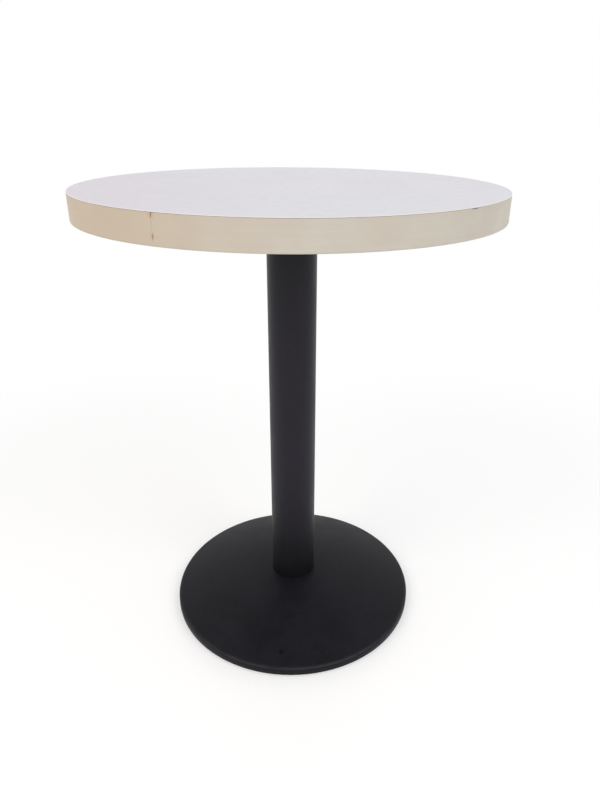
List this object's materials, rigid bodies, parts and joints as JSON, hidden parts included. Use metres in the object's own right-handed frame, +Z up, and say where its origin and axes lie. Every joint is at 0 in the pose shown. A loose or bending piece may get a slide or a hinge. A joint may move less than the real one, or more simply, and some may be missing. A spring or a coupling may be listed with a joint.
{
  "type": "round pedestal table",
  "caption": "Round dining table with a laminated top on a central tubular column and a low domed steel base that stands on screw-adjusted levelling glides.",
  "frame": {"origin": "on the floor, under the middle of the table", "axes": "+Z up, -Y towards the front seen in the picture, +X to the right"},
  "size_m": [0.6, 0.6, 0.72],
  "materials": {
    "white_laminate": "satin",
    "beige_edge": "satin",
    "chipboard": "raw",
    "backing_sheet": "matt",
    "black_powder_coat": "satin powder coat",
    "zinc_steel": "zinc plated",
    "black_nylon": "moulded"
  },
  "bodies": {
    "table": {"top_laminate": "white_laminate", "core_board": "chipboard", "backing_sheet": "backing_sheet", "edge_strip": "beige_edge", "spider_hub": "black_powder_coat", "spider_arm_1": "black_powder_coat", "spider_arm_2": "black_powder_coat", "spider_arm_3": "black_powder_coat", "spider_arm_4": "black_powder_coat", "hub_bolt": "zinc_steel", "top_screw_1": "zinc_steel", "top_screw_2": "zinc_steel", "top_screw_3": "zinc_steel", "top_screw_4": "zinc_steel", "top_screw_5": "zinc_steel", "top_screw_6": "zinc_steel", "top_screw_7": "zinc_steel", "top_screw_8": "zinc_steel", "column_tube": "black_powder_coat", "head_plug": "zinc_steel", "foot_plug": "zinc_steel", "base_bolt": "zinc_steel", "base_plate": "black_powder_coat", "base_cover": "black_powder_coat"},
    "pad_1": {"glide_pad_1": "black_nylon"},
    "stud_1": {"glide_stud_1": "zinc_steel"},
    "pad_2": {"glide_pad_2": "black_nylon"},
    "stud_2": {"glide_stud_2": "zinc_steel"},
    "pad_3": {"glide_pad_3": "black_nylon"},
    "stud_3": {"glide_stud_3": "zinc_steel"},
    "pad_4": {"glide_pad_4": "black_nylon"},
    "stud_4": {"glide_stud_4": "zinc_steel"}
  },
  "joints": [
    {"name": "glide_1_lift", "type": "slide", "parent": "table", "child": "pad_1", "axis": [0, 0, -1], "range_m": [0, 0.004]},
    {"name": "glide_1_turn", "type": "hinge", "parent": "pad_1", "child": "stud_1", "pos_m": [0.12374, 0.12374, 0], "axis": [0, 0, -1], "range_deg": [0, 1152]},
    {"name": "glide_2_lift", "type": "slide", "parent": "table", "child": "pad_2", "axis": [0, 0, -1], "range_m": [0, 0.004]},
    {"name": "glide_2_turn", "type": "hinge", "parent": "pad_2", "child": "stud_2", "pos_m": [-0.12374, 0.12374, 0], "axis": [0, 0, -1], "range_deg": [0, 1152]},
    {"name": "glide_3_lift", "type": "slide", "parent": "table", "child": "pad_3", "axis": [0, 0, -1], "range_m": [0, 0.004]},
    {"name": "glide_3_turn", "type": "hinge", "parent": "pad_3", "child": "stud_3", "pos_m": [-0.12374, -0.12374, 0], "axis": [0, 0, -1], "range_deg": [0, 1152]},
    {"name": "glide_4_lift", "type": "slide", "parent": "table", "child": "pad_4", "axis": [0, 0, -1], "range_m": [0, 0.004]},
    {"name": "glide_4_turn", "type": "hinge", "parent": "pad_4", "child": "stud_4", "pos_m": [0.12374, -0.12374, 0], "axis": [0, 0, -1], "range_deg": [0, 1152]}
  ],
  "couplings": [
    {"joint": "glide_1_turn", "follows": "glide_1_lift", "rad_per_m": 5026.5},
    {"joint": "glide_2_turn", "follows": "glide_2_lift", "rad_per_m": 5026.5},
    {"joint": "glide_3_turn", "follows": "glide_3_lift", "rad_per_m": 5026.5},
    {"joint": "glide_4_turn", "follows": "glide_4_lift", "rad_per_m": 5026.5}
  ]
}
